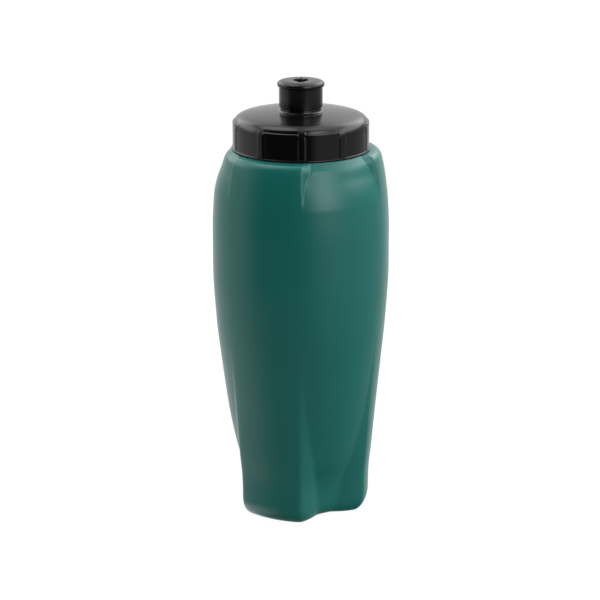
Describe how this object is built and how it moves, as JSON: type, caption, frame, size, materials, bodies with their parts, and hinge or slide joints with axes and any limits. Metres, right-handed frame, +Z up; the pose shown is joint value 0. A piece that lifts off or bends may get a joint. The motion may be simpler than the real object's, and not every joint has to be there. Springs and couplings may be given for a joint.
{
  "type": "sports squeeze bottle",
  "caption": "Squeeze bottle with a fluted soft plastic body, a ribbed screw cap on a helical thread and a push-pull drinking spout.",
  "frame": {"origin": "centre of the base, on the surface that the bottle stands on", "axes": "+Z up along the bottle's axis, towards the spout; the middle of one lobe faces +X, and the seam between a lobe and a flute faces -Y"},
  "size_m": [0.073, 0.073, 0.1838],
  "materials": {
    "body_plastic": "satin teal polyethylene",
    "seal_rubber": "matt off-white elastomer",
    "cap_plastic": "semi-gloss black polypropylene",
    "spout_plastic": "semi-gloss black polyethylene"
  },
  "bodies": {
    "bottle": {"bottle_body": "body_plastic"},
    "seal": {"seal_ring": "seal_rubber"},
    "cap": {"screw_cap": "cap_plastic"},
    "spout": {"pull_spout": "spout_plastic"}
  },
  "joints": [
    {"name": "cap_lift", "type": "slide", "parent": "bottle", "child": "seal", "axis": [0, 0, 1], "range_m": [0, 0.0084]},
    {"name": "cap_turn", "type": "hinge", "parent": "seal", "child": "cap", "pos_m": [0, 0, 0.1551], "axis": [0, 0, 1], "range_deg": [0, 720]},
    {"name": "spout_pull", "type": "slide", "parent": "cap", "child": "spout", "axis": [0, 0, 1], "range_m": [0, 0.005]}
  ],
  "couplings": [
    {"joint": "cap_lift", "follows": "cap_turn", "m_per_rad": 0.00066845}
  ]
}
